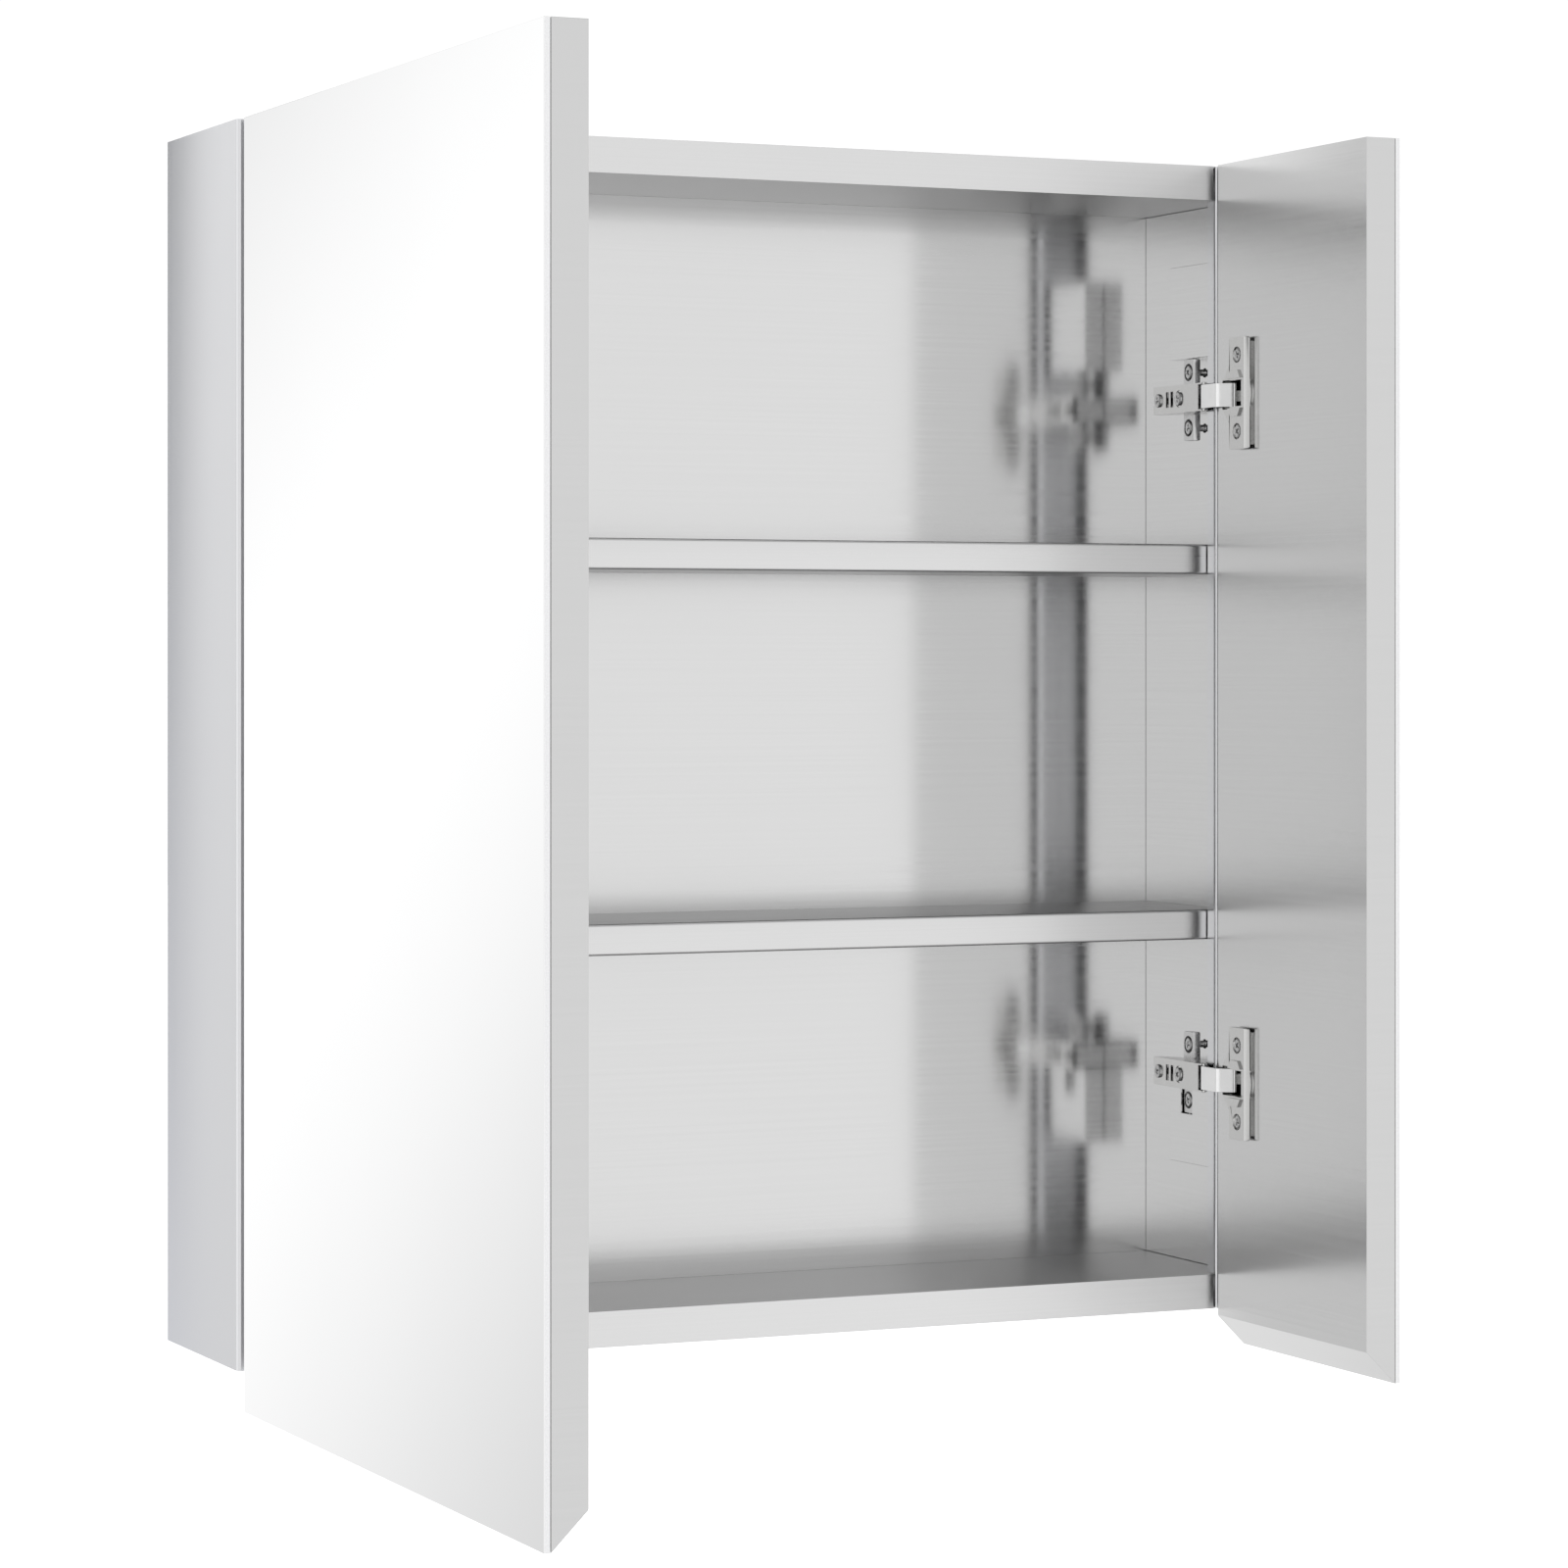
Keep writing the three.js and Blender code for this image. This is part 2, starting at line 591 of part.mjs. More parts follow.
// Mounting plate: two screwed wings, and a saddle between them that the arm sits over.
function mountingPlate() {
  const { low, wing, top, saddle, halfHeight, y0, y1 } = PLATE;
  const corners = [
    [y0, -halfHeight, EDGE_RADIUS],
    [y1, -halfHeight, EDGE_RADIUS],
    [y1, halfHeight, EDGE_RADIUS],
    [y0, halfHeight, EDGE_RADIUS],
  ];
  const wings = alongX(corners, wing, top);
  const half = SADDLE.halfHeight;
  const block = box(low, saddle, SADDLE.y0, SADDLE.y1, -half, half);
  const holes = [
    rodX(PLATE_SCREW.shank + GAP, low, top + PAST, PLATE_SCREW.y, PLATE_SCREW.z),
    rodX(PLATE_SCREW.shank + GAP, low, top + PAST, PLATE_SCREW.y, -PLATE_SCREW.z),
    rodX(DEPTH_SCREW_HOLE.radius, low + SHEET, saddle + PAST, DEPTH_SCREW_HOLE.y, 0),
  ];
  return cut(join(wings, block), ...holes);
}

// One hinge and the box beside it, with the names of the pieces ending in where they are.
function hinge(side, level) {
  const place = `${side}_${level}`;
  const group = new THREE.Group();
  const above = PLATE_SCREW.z;
  const screwZ = CUP_BAR.screwZ;
  group.add(
    node(`hinge_block_${place}`, hingeBlock(level), brushedSteel),
    node(`mounting_plate_${place}`, mountingPlate(), zincPlate),
    node(`hinge_arm_${place}`, hingeArm(), nickel),
    node(`link_pin_${place}`, linkPin(), nickel),
    node(`hinge_link_${place}`, hingeLink(), polishedNickel),
    node(`hinge_cup_${place}`, hingeCup(), nickel),
    node(`plate_screw_upper_${place}`, domedScrew(PLATE_SCREW, PLATE.top, above), zincPlate),
    node(`plate_screw_lower_${place}`, domedScrew(PLATE_SCREW, PLATE.top, -above), zincPlate),
    node(`side_screw_${place}`, domedScrew(SIDE_SCREW, ARM.top, 0), zincPlate),
    node(`cup_screw_upper_${place}`, cupScrew(screwZ), zincPlate),
    node(`cup_screw_lower_${place}`, cupScrew(-screwZ), zincPlate)
  );
  return group;
}

// ---- The cabinet --------------------------------------------------------------------------

// Everything that stands once on each side, drawn as it is on the left.
function sidePieces(side, doorWidth) {
  const group = new THREE.Group();
  group.add(
    node(`${side}_side_panel`, sidePanel(), brushedSteel),
    node(`${side}_side_liner`, sideLiner(), brushedSteel),
    node(`${side}_door_pan`, doorPan(doorWidth), satinSteel),
    node(`${side}_mirror`, mirror(doorWidth), silveredGlass)
  );
  for (const [level, height] of Object.entries(HINGE_HEIGHTS)) {
    const placed = hinge(side, level);
    placed.position.z = height;
    group.add(placed);
  }
  return group;
}

function cabinet() {
  const group = new THREE.Group();
  const right = sidePieces("right", RIGHT_DOOR_WIDTH);
  right.scale.x = -1;
  right.position.x = BODY_WIDTH;
  group.add(sidePieces("left", LEFT_DOOR_WIDTH), right);
  group.add(
    node("top_panel", topPanel(), brushedSteel),
    node("bottom_panel", bottomPanel(), brushedSteel),
    node("back_panel", backPanel(), brushedSteel),
    node("hanging_rail", hangingRail(), brushedSteel)
  );
  for (const [name, bottom] of Object.entries(SHELF_BOTTOMS)) {
    group.add(node(name, shelf(bottom), brushedSteel));
  }
  group.position.set(-BODY_WIDTH / 2, -BODY_DEPTH, HANG_RAIL.leaf / 2 - HANG_RAIL.webZ);
  return group;
}

const part = new THREE.Group();
part.add(cabinet());

export default part;
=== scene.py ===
"""Looks of the wall-hung medicine cabinet. Metres, +Z up, origin on the wall behind it."""

import math

import bmesh
import bpy
from mathutils import Matrix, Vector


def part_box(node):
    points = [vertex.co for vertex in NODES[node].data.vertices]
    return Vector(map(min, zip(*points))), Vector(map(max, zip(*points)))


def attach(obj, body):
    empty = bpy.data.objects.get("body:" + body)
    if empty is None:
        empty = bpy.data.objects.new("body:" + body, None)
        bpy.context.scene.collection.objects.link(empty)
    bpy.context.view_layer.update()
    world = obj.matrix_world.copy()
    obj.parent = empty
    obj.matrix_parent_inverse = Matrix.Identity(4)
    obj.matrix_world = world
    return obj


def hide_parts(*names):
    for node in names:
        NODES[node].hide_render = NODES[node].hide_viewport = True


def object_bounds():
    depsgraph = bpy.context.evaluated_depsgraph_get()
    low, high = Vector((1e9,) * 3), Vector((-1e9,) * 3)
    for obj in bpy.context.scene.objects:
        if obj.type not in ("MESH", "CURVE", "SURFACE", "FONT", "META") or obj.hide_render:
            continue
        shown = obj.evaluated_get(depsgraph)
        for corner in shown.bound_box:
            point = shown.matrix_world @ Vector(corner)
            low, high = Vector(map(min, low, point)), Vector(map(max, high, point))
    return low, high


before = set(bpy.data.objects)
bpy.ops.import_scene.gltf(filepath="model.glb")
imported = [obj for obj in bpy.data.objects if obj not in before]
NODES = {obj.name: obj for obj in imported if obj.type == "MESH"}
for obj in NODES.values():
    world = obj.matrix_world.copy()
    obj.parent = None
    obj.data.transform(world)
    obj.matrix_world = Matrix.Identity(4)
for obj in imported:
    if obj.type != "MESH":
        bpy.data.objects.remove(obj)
CAD_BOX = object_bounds()
MM = 0.001
SIDES = {"left": 1, "right": -1}

# Camera
CAMERA_PLACE = (-1.0485, -2.514, -0.215)
CAMERA_HEADING = math.radians(24.609)
LENS = 109.9
SENSOR = 36.0
CAMERA_SHIFT = (-0.0375, -0.0802)

# Studio
FLOOR_DROP = 1.2
FLOOR_SIZE = 60.0
FLOOR_GLOW = 0.9
BACKDROP_LIGHT = 1.05
ROOM_LIGHT = 0.95
POLE_LIGHT = 0.3
TOP_LIGHT = 0.75
BELT_EDGES = (0.22, 0.6)
TOP_EDGES = (0.72, 0.9)
FOOT_EDGES = (0.48, 0.62)
BAND_CENTRE = (-0.3256, 0.9455, 0.01)
BAND_REACH = (0.8, 0.95)
BAND_NORMAL = (-0.845, -0.291, -0.447)
BAND_EDGES = (0.01, 0.14)
BAND_LIGHTS = (1.07, 0.71)
FLAG_BOX = ((-0.457, 0.4, -0.85), (-0.28, 0.4, 0.3))
FLAG_LIGHTS = (0.8, 0.12)
FLAG_TINT = -0.06

# Finishes; front and level are painted light and shade: shares of brightness on faces along y and on
# level faces
BRUSHED_STEELS = {
    "body_steel": {"shade": 0.76, "roughness": 0.14, "anisotropy": 0.75, "grain": 0.5},
    "shelf_steel": {"shade": 0.76, "roughness": 0.3, "grain": 0.7, "front": 1.08, "level": 0.6},
    "door_steel": {"shade": 0.73, "roughness": 0.16, "anisotropy": 0.7, "grain": 0.5, "front": 0.94},
}
FOLDED_STEEL = {"shade": 0.76, "roughness": 0.34, "grain": 0.7, "front": 1.13, "level": 0.8}
OUTER_STEEL = {"shade": 0.76, "roughness": 0.14, "warmth": -0.02, "grain": 0.5}
PLATINGS = {
    "hinge_nickel": {"shade": 0.72, "roughness": 0.2, "warmth": 0.01},
    "link_nickel": {"shade": 0.95, "roughness": 0.1},
    "plate_zinc": {"shade": 0.7, "roughness": 0.24},
    "screw_zinc": {"shade": 0.58, "roughness": 0.2},
}
STEEL_ANISOTROPY = 0.55
FACING_COSINE = 0.7
NOISE_RANGE = (0.3, 0.7)
SCRATCHES = {"across": 1700.0, "along": 6.0, "share": 0.55}
STREAKS = {"across": 420.0, "along": 1.6, "share": 0.45}
STEEL_DARK = 0.045
STEEL_LIGHT = 0.035
STEEL_ROUGHNESS_STEPS = (-0.03, 0.04)
STEEL_CLOUDS = {"scale": 5.0, "depth": 0.06}
STEEL_BUMP = {"strength": 0.035, "distance": 0.2 * MM}
OUTER_SOFTENING = 0.08
# Painted light: this share of brightness is added on the outer faces of the side panels
PAINTED_OUTER_LIGHT = 0.12
WAVES = {"scale": 160.0}
PITS = {"scale": 2600.0, "height": 0.12}
PATCHES = {"scale": 55.0, "shade": 0.94, "edges": (0.35, 0.65), "roughness": (0.75, 1.3)}
PLATED_BUMP = {"strength": 0.05, "distance": 0.4 * MM}
SILVER = {"scale": 7.0, "shades": (0.93, 0.95), "warmth": -0.002, "roughness": (0.0, 0.012)}
GROUND = {"scale": 1500.0, "shades": (0.78, 0.86), "warmth": -0.01, "roughness": (0.2, 0.34)}
GLASS_IOR = 1.52
FLOOR_PAINT = {"scale": 0.6, "shades": (0.93, 0.95), "warmth": 0.0}
FLOOR_ROUGHNESS = 0.9

# Edges
SHARP_ANGLE = math.radians(38)
FLAT_ANGLE = math.radians(0.5)
WELD_DISTANCE = 0.001 * MM
EDGE_SEGMENTS = 2
EDGE_WIDTHS = {
    "body_steel": 0.25 * MM, "shelf_steel": 0.2 * MM, "door_steel": 0.25 * MM,
    "mirror_glass": 0.15 * MM, "hinge_nickel": 0.2 * MM, "link_nickel": 0.15 * MM,
    "plate_zinc": 0.3 * MM, "screw_zinc": 0.1 * MM,
}
PLATE_EDGE = 0.6 * MM
ARM_EDGE = 0.3 * MM
CUP_EDGE = 0.3 * MM
SCREW_EDGE = 0.08 * MM

# Hinges
PLATE_SCREW = {"rise": 1.9 * MM, "bore": 4.9 * MM, "bore_depth": 2.2 * MM}
SIDE_SCREW = {"rise": 1.4 * MM, "bore": 4.9 * MM, "bore_depth": 0.5 * MM}
PLATE_CROWN_RISE = 0.5 * MM
WING_SLANT = {"across": 3.6 * MM, "back": 1.6 * MM}
WING_FRONT = 7.1 * MM
WING_LENGTH = 15.0 * MM
BAR_SLANT = {"across": 3.6 * MM, "back": 1.0 * MM}
BAR_WIDTH = 17.9 * MM
BAR_FOOT = {"inset": 2.4 * MM, "height": 1.3 * MM, "above_pan": 0.3 * MM, "clear_of_pan": 0.05 * MM}
CUP_RADIUS = 17.5 * MM
CUP_COLLAR = 0.2 * MM
CUT_MARGIN = 1.0 * MM
DEPTH_SCREW_FROM_REAR = 5.4 * MM

# Screws
SCREW_LENGTHS = {"plate": 13.0 * MM, "side": 5.6 * MM, "cup": 8.6 * MM, "depth": 12.0 * MM}
HEAD_RADIUS = 3.9 * MM
HEAD_RISE = 0.7 * MM
HEAD_HEIGHT = 1.9 * MM
HEAD_DOME = {"steps": 6, "turn": math.radians(84), "flat": 0.25}
SHANK_RADIUS = 2.1 * MM
THREAD_PITCH = 1.25 * MM
THREAD_DEPTH = 0.45 * MM
RINGS_PER_PITCH = 6
RECESS = {"length": 0.6, "width": 0.15, "taper": 0.6, "depth": 1.4 * MM}
HINGE_ROLLS = (0.35, 1.1, 0.8, 0.1)
PLATE_SCREW_ROLLS = {"upper": 0.6, "lower": 1.2}
SIDE_SCREW_ROLL = 1.6
DEPTH_SCREW_ROLL = 1.2
CUP_SCREW_ROLLS = {"upper": 1.7, "lower": 2.2}
TURNED_STEPS = 48


# ---- Shader trees ------------------------------------------------------------------------------

class Tree:
    """Adds shader nodes to one node tree; an input is a number, a tuple, or another node's output."""

    def __init__(self, owner):
        owner.use_nodes = True
        self.tree = owner.node_tree
        self.tree.nodes.clear()

    def add(self, kind, inputs=None, out=0, **settings):
        node = self.tree.nodes.new(kind)
        for name, value in settings.items():
            setattr(node, name, value)
        for name, value in (inputs or {}).items():
            self.put(node.inputs[name], value)
        return node.outputs[out] if node.outputs else node

    def put(self, socket, value):
        if isinstance(value, bpy.types.NodeSocket):
            self.tree.links.new(value, socket)
        else:
            socket.default_value = value

    def math(self, operation, a, b=0.0, c=0.0):
        return self.add("ShaderNodeMath", {0: a, 1: b, 2: c}, operation=operation)

    def vector(self, operation, a, b=(0, 0, 0), out=0):
        return self.add("ShaderNodeVectorMath", {0: a, 1: b}, out, operation=operation)

    def part(self, vector, axis):
        return self.add("ShaderNodeSeparateXYZ", {0: vector}, axis)

    def remap(self, value, low, high, to_low, to_high, smooth=False):
        inputs = {
            "Value": value, "From Min": low, "From Max": high, "To Min": to_low, "To Max": to_high,
        }
        kind = "SMOOTHSTEP" if smooth else "LINEAR"
        return self.add("ShaderNodeMapRange", inputs, interpolation_type=kind)

    def noise(self, place, scale, detail=2.0, roughness=0.5):
        inputs = {"Vector": place, "Scale": scale, "Detail": detail, "Roughness": roughness}
        return self.add("ShaderNodeTexNoise", inputs)

    def blend(self, factor, a, b):
        """Two vectors, mixed."""
        return self.add("ShaderNodeMix", {0: factor, 4: a, 5: b}, 1, data_type="VECTOR")

    def tint(self, factor, a, b):
        """Two colours, mixed."""
        return self.add("ShaderNodeMix", {0: factor, 6: a, 7: b}, 2, data_type="RGBA")

    def bump(self, height, strength, distance):
        inputs = {"Strength": strength, "Distance": distance, "Height": height}
        return self.add("ShaderNodeBump", inputs)

    def surface(self, shader):
        self.add("ShaderNodeOutputMaterial", {"Surface": shader})


def grey(value, warmth=0.0):
    """A near-grey linear colour; warmth above 0 leans to yellow, below 0 to blue."""
    return (value * (1 + warmth / 4), value, value * (1 - warmth), 1.0)


# ---- Materials ---------------------------------------------------------------------------------

def material(name):
    made = bpy.data.materials.new(name)
    return made, Tree(made)


def facing_along(t, axis):
    """1 on faces that look along an axis of the piece, either way; 0 on the others."""
    normal = t.add("ShaderNodeTexCoord", out="Normal")
    return t.math("GREATER_THAN", t.math("ABSOLUTE", t.part(normal, axis)), FACING_COSINE)


def facing_out(t, outward):
    """1 on faces that look outward, to +x or -x; 0 everywhere where outward is 0."""
    normal = t.add("ShaderNodeTexCoord", out="Normal")
    return t.math("GREATER_THAN", t.math("MULTIPLY", t.part(normal, "X"), outward), FACING_COSINE)


def painted_light_share(t, front, level, upright):
    """Painted light and shade, as a share of brightness: 1, or front on faces that look along y,
    or level on those that look up or down, plus a set share of painted light on outer faces."""
    share = t.math("MULTIPLY_ADD", facing_along(t, "Z"), level - 1, 1.0)
    share = t.math("MULTIPLY_ADD", facing_along(t, "Y"), front - 1, share)
    return t.math("MULTIPLY_ADD", upright, PAINTED_OUTER_LIGHT, share)


def along_grain(t, place, sideways, upright, sizes):
    """The place, scaled so that a noise on it is drawn out along the grain."""
    across, along = sizes["across"], sizes["along"]
    side_scale = t.blend(upright, (across, along, across), (across, across, along))
    scale = t.blend(sideways, (along, across, across), side_scale)
    return t.vector("MULTIPLY", place, scale)


def grain_direction(t, sideways, upright):
    """The brush's way in the piece's own axes, turned with the piece."""
    across = t.blend(upright, (0.0, 1.0, 0.0), (0.0, 0.0, 1.0))
    own = t.blend(sideways, (1.0, 0.0, 0.0), across)
    return t.add(
        "ShaderNodeVectorTransform", {0: own},
        vector_type="VECTOR", convert_from="OBJECT", convert_to="WORLD",
    )


def brushed(
    name, shade, roughness, warmth=0.0, anisotropy=STEEL_ANISOTROPY, grain=1.0,
    outward=0, front=1.0, level=1.0,
):
    """Sheet steel with a fine brush grain: long scratches, streaks and faint cloudiness. The grain
    runs along x, or along y on faces that look sideways, or along z on those that look outward."""
    made, t = material(name)
    place = t.add("ShaderNodeTexCoord", out="Object")
    sideways = facing_along(t, "X")
    upright = facing_out(t, outward)
    scratched = along_grain(t, place, sideways, upright, SCRATCHES)
    streaked = along_grain(t, place, sideways, upright, STREAKS)
    fine = t.noise(scratched, 1.0, detail=3.0, roughness=0.6)
    wide = t.noise(streaked, 1.0)
    cloud = t.noise(place, STEEL_CLOUDS["scale"], detail=3.0)
    fine_part = t.math("MULTIPLY", fine, SCRATCHES["share"])
    scratch = t.math("MULTIPLY_ADD", wide, STREAKS["share"], fine_part)
    dark = grey(shade * (1 - STEEL_DARK * grain), warmth)
    light = grey(min(shade * (1 + STEEL_LIGHT * grain), 1.0), warmth)
    colour = t.tint(t.remap(scratch, *NOISE_RANGE, 0.0, 1.0), dark, light)
    # Painted light and shade: the colour is scaled by the front and level shares and lifted on outer
    # faces
    share = painted_light_share(t, front, level, upright)
    colour = t.add("ShaderNodeVectorMath", {0: colour, "Scale": share}, operation="SCALE")
    rough = t.remap(scratch, *NOISE_RANGE, *(roughness + step for step in STEEL_ROUGHNESS_STEPS))
    rough = t.math("MULTIPLY_ADD", t.math("SUBTRACT", cloud, 0.5), STEEL_CLOUDS["depth"], rough)
    rough = t.math("MULTIPLY_ADD", upright, OUTER_SOFTENING, rough)
    normal = t.add("ShaderNodeNewGeometry", out="Normal")
    tangent = t.vector("CROSS_PRODUCT", normal, grain_direction(t, sideways, upright))
    bump = t.bump(scratch, STEEL_BUMP["strength"] * grain, STEEL_BUMP["distance"])
    inputs = {
        "Base Color": colour, "Metallic": 1.0, "Roughness": rough, "Normal": bump,
        "Anisotropic": anisotropy, "Tangent": tangent,
    }
    t.surface(t.add("ShaderNodeBsdfPrincipled", inputs))
    return made


def plated(name, shade, roughness, warmth=0.0):
    """Bright plating over stamped steel: soft waviness, faint pits and rubbed patches."""
    made, t = material(name)
    place = t.add("ShaderNodeTexCoord", out="Object")
    wave = t.noise(place, WAVES["scale"])
    pits = t.noise(place, PITS["scale"])
    patch = t.noise(place, PATCHES["scale"], detail=4.0, roughness=0.6)
    rubbed, bright = grey(shade * PATCHES["shade"], warmth), grey(shade, warmth)
    colour = t.tint(t.remap(patch, *PATCHES["edges"], 0.0, 1.0), rubbed, bright)
    rough = t.remap(patch, *NOISE_RANGE, *(roughness * share for share in PATCHES["roughness"]))
    height = t.math("MULTIPLY_ADD", pits, PITS["height"], wave)
    bump = t.bump(height, **PLATED_BUMP)
    inputs = {"Base Color": colour, "Metallic": 1.0, "Roughness": rough, "Normal": bump}
    t.surface(t.add("ShaderNodeBsdfPrincipled", inputs))
    return made


def between_shades(t, noise, look):
    """A grey that wanders with the noise between a look's two shades."""
    return t.tint(noise, *(grey(shade, look["warmth"]) for shade in look["shades"]))


def silvered():
    """Mirror glass: silver on its two broad faces, pale ground glass round its edges."""
    made, t = material("silvered_glass")
    place = t.add("ShaderNodeTexCoord", out="Object")
    film = t.noise(place, SILVER["scale"], detail=3.0)
    rough = t.remap(film, *NOISE_RANGE, *SILVER["roughness"])
    inputs = {"Base Color": between_shades(t, film, SILVER), "Metallic": 1.0, "Roughness": rough}
    silver = t.add("ShaderNodeBsdfPrincipled", inputs)
    ground = t.noise(place, GROUND["scale"])
    rough = t.remap(ground, *NOISE_RANGE, *GROUND["roughness"])
    inputs = {"Base Color": between_shades(t, ground, GROUND), "Roughness": rough, "IOR": GLASS_IOR}
    edge = t.add("ShaderNodeBsdfPrincipled", inputs)
    t.surface(t.add("ShaderNodeMixShader", {0: facing_along(t, "X"), 1: edge, 2: silver}))
    return made


def painted_floor():
    made, t = material("pale_floor")
    place = t.add("ShaderNodeTexCoord", out="Object")
    cloud = t.noise(place, FLOOR_PAINT["scale"], detail=3.0)
    inputs = {
        "Base Color": between_shades(t, cloud, FLOOR_PAINT), "Roughness": FLOOR_ROUGHNESS,
        "Emission Color": grey(1.0), "Emission Strength": FLOOR_GLOW,
    }
    t.surface(t.add("ShaderNodeBsdfPrincipled", inputs))
    return made


def grey_card(low, high):
    """A glow that falls from FLAG_LIGHTS' first value at one height to its second at another."""
    made, t = material("grey_card")
    height = t.part(t.add("ShaderNodeTexCoord", out="Object"), "Z")
    glow = t.remap(height, low, high, *FLAG_LIGHTS)
    t.surface(t.add("ShaderNodeEmission", {"Color": grey(1.0, FLAG_TINT), "Strength": glow}))
    return made


MATERIALS = {slot: brushed(slot, **finish) for slot, finish in BRUSHED_STEELS.items()}
MATERIALS["mirror_glass"] = silvered()
MATERIALS.update({slot: plated(slot, **finish) for slot, finish in PLATINGS.items()})
# Copies of the body steel that carry painted light and shade: on the top and bottom panels' fronts
# and level faces, and on the side panels' outer faces
FOLDED_MATERIAL = brushed("folded_body_steel", **FOLDED_STEEL)
NODE_MATERIALS = {
    "top_panel": FOLDED_MATERIAL,
    "bottom_panel": FOLDED_MATERIAL,
    "left_side_panel": brushed("left_body_steel", outward=-1, **OUTER_STEEL),
    "right_side_panel": brushed("right_body_steel", outward=1, **OUTER_STEEL),
}


# ---- Carried-over CAD nodes --------------------------------------------------------------------

def smoothing_group():
    """Geometry nodes that drop stored normals and shade smooth, but for edges past SHARP_ANGLE."""
    group = bpy.data.node_groups.new("smooth_shading", "GeometryNodeTree")
    group.interface.new_socket("Geometry", in_out="INPUT", socket_type="NodeSocketGeometry")
    group.interface.new_socket("Geometry", in_out="OUTPUT", socket_type="NodeSocketGeometry")
    add, link = group.nodes.new, group.links.new
    start, end = add("NodeGroupInput"), add("NodeGroupOutput")
    bare = add("GeometryNodeRemoveAttribute")
    bare.inputs["Name"].default_value = "custom_normal"
    faces = add("GeometryNodeSetShadeSmooth")
    edges = add("GeometryNodeSetShadeSmooth")
    edges.domain = "EDGE"
    angle = add("GeometryNodeInputMeshEdgeAngle")
    shallow = add("FunctionNodeCompare")
    shallow.operation = "LESS_THAN"
    shallow.inputs[1].default_value = SHARP_ANGLE
    link(start.outputs[0], bare.inputs[0])
    link(bare.outputs[0], faces.inputs[0])
    link(faces.outputs[0], edges.inputs[0])
    link(angle.outputs[0], shallow.inputs[0])
    link(shallow.outputs[0], edges.inputs["Shade Smooth"])
    link(edges.outputs[0], end.inputs[0])
    return group


SMOOTHING = smoothing_group()


def round_edges(piece, width):
    """Merged corners, flat faces in one piece, and every sharp edge rounded to width."""
    weld = piece.modifiers.new("merged_corners", "WELD")
    weld.merge_threshold = WELD_DISTANCE
    flat = piece.modifiers.new("whole_faces", "DECIMATE")
    flat.decimate_type = "DISSOLVE"
    flat.angle_limit = FLAT_ANGLE
    smooth = piece.modifiers.new("smooth_shading", "NODES")
    smooth.node_group = SMOOTHING
    bevel = piece.modifiers.new("rounded_edges", "BEVEL")
    bevel.width = width
    bevel.segments = EDGE_SEGMENTS
    bevel.limit_method = "ANGLE"
    bevel.angle_limit = SHARP_ANGLE
    bevel.use_clamp_overlap = True
    bevel.harden_normals = True


def dress_cad_nodes():
    for name, node in NODES.items():
        slot = node.data.materials[0].name
        round_edges(node, EDGE_WIDTHS[slot])
        node.material_slots[0].material = NODE_MATERIALS.get(name, MATERIALS[slot])


# ---- Solid shapes ------------------------------------------------------------------------------

def put_in_scene(name, data):
    made = bpy.data.objects.new(name, data)
    bpy.context.scene.collection.objects.link(made)
    return made


def ringed(name, rings):
    """A closed body through rings of corners, each ring turning anticlockwise seen from its front."""
    count = len(rings[0])
    corners = [corner for ring in rings for corner in ring]
    last = (len(rings) - 1) * count
    faces = [tuple(reversed(range(count))), tuple(range(last, last + count))]
    for start in range(0, last, count):
        for i in range(count):
            j = (i + 1) % count
            faces.append((start + i, start + j, start + count + j, start + count + i))
    mesh = bpy.data.meshes.new(name)
    mesh.from_pydata(corners, [], faces)
    return mesh


def turned(radius_at, height):
    """A ring of corners round z; radius_at gives the radius at each share of a turn."""
    shares = [i / TURNED_STEPS for i in range(TURNED_STEPS)]
    polar = [(radius_at(share), share * math.tau) for share in shares]
    return [(radius * math.cos(angle), radius * math.sin(angle), height) for radius, angle in polar]


def circle(radius, height):
    return turned(lambda share: radius, height)


def bar_along_x(radius, start, end, y, z):
    low, high = sorted((start, end))
    rings = [[(x, y + a, z + b) for a, b, _ in circle(radius, 0)] for x in (low, high)]
    return ringed("bar", rings)


def block(low, high):
    x0, y0, z0 = low
    x1, y1, z1 = high
    rings = [[(x0, y0, z), (x1, y0, z), (x1, y1, z), (x0, y1, z)] for z in (z0, z1)]
    return ringed("block", rings)


def carved(mesh, cutters):
    """A new mesh: the first one with the cutters' shapes taken out of it."""
    body = put_in_scene("carving", mesh)
    tools = [put_in_scene("cutter", cutter) for cutter in cutters]
    for tool in tools:
        step = body.modifiers.new("cut", "BOOLEAN")
        step.object = tool
        step.operation = "DIFFERENCE"
        step.solver = "EXACT"
    view = bpy.context.evaluated_depsgraph_get()
    result = bpy.data.meshes.new_from_object(body.evaluated_get(view))
    for spare in (body, *tools):
        bpy.data.objects.remove(spare)
    return result


def solid_copy(node):
    """The surface of a CAD node as one closed mesh with whole faces."""
    work = bmesh.new()
    work.from_mesh(NODES[node].data)
    bmesh.ops.remove_doubles(work, verts=work.verts, dist=WELD_DISTANCE)
    bmesh.ops.dissolve_limit(work, angle_limit=FLAT_ANGLE, verts=work.verts, edges=work.edges)
    mesh = bpy.data.meshes.new(node)
    work.to_mesh(mesh)
    work.free()
    return mesh


# ---- Screws ------------------------------------------------------------------------------------

